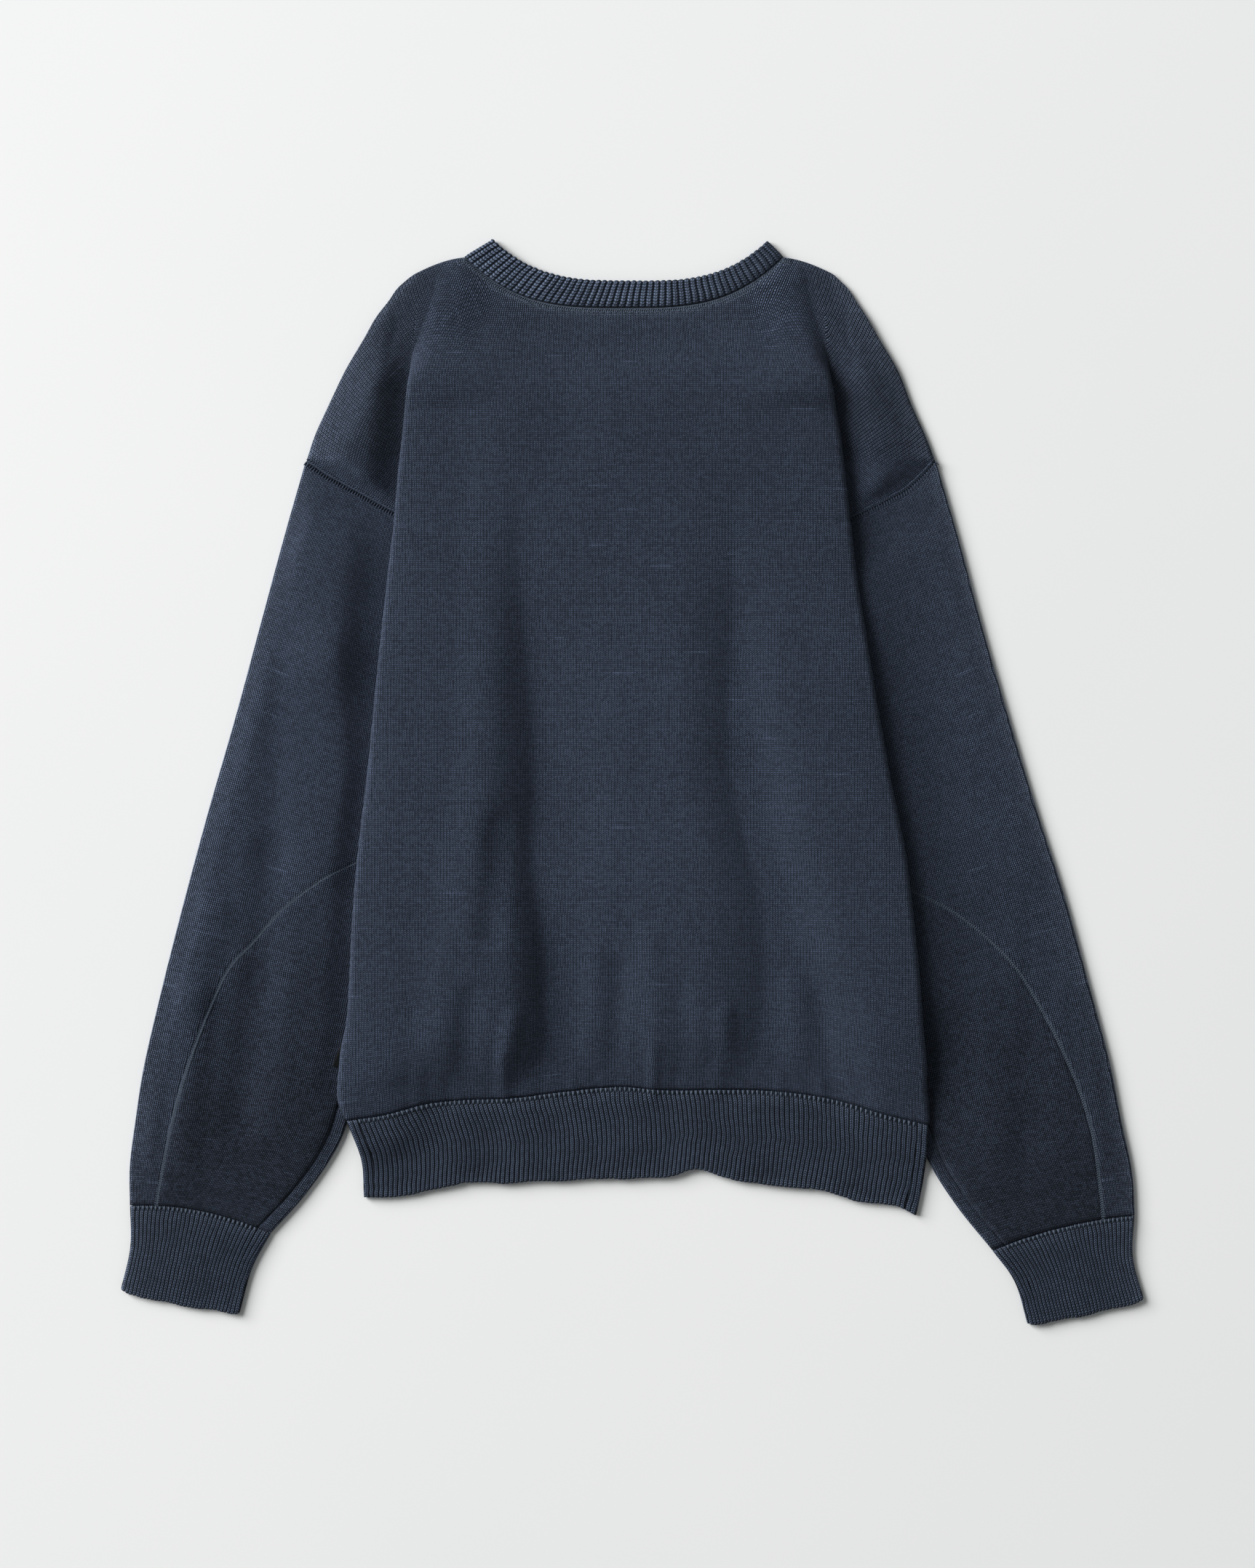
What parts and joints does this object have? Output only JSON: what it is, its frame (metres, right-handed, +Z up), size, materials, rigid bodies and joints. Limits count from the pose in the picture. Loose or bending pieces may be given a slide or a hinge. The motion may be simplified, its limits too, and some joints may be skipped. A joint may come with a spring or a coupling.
{
  "type": "crewneck sweater",
  "caption": "Heavy-knit crewneck sweater laid flat back up, drop shoulders, sleeves tucked beneath the body, ribbed neck, hem and cuffs, curved elbow seams.",
  "frame": {"origin": "on the surface that the garment lies on, under the middle of its laid-out outline", "axes": "+Y towards the neck, +X to the right as seen from above, +Z up out of the laid garment; the garment's back faces +Z"},
  "size_m": [0.7178, 0.761, 0.0165],
  "materials": {
    "body_knit": "matt cotton jersey knit, slate navy, slightly faded",
    "rib_knit": "matt cotton rib knit, slate navy",
    "label_tape": "plain woven black tape"
  },
  "bodies": {
    "root": {"back_panel": "body_knit", "front_panel": "body_knit", "sleeve_left_main": "body_knit", "sleeve_left_forearm": "body_knit", "sleeve_right_main": "body_knit", "sleeve_right_forearm": "body_knit", "neck_rib": "rib_knit", "cuff_left": "rib_knit", "cuff_right": "rib_knit", "hem_rib_back": "rib_knit", "hem_rib_front": "rib_knit", "side_label": "label_tape"}
  },
  "joints": []
}
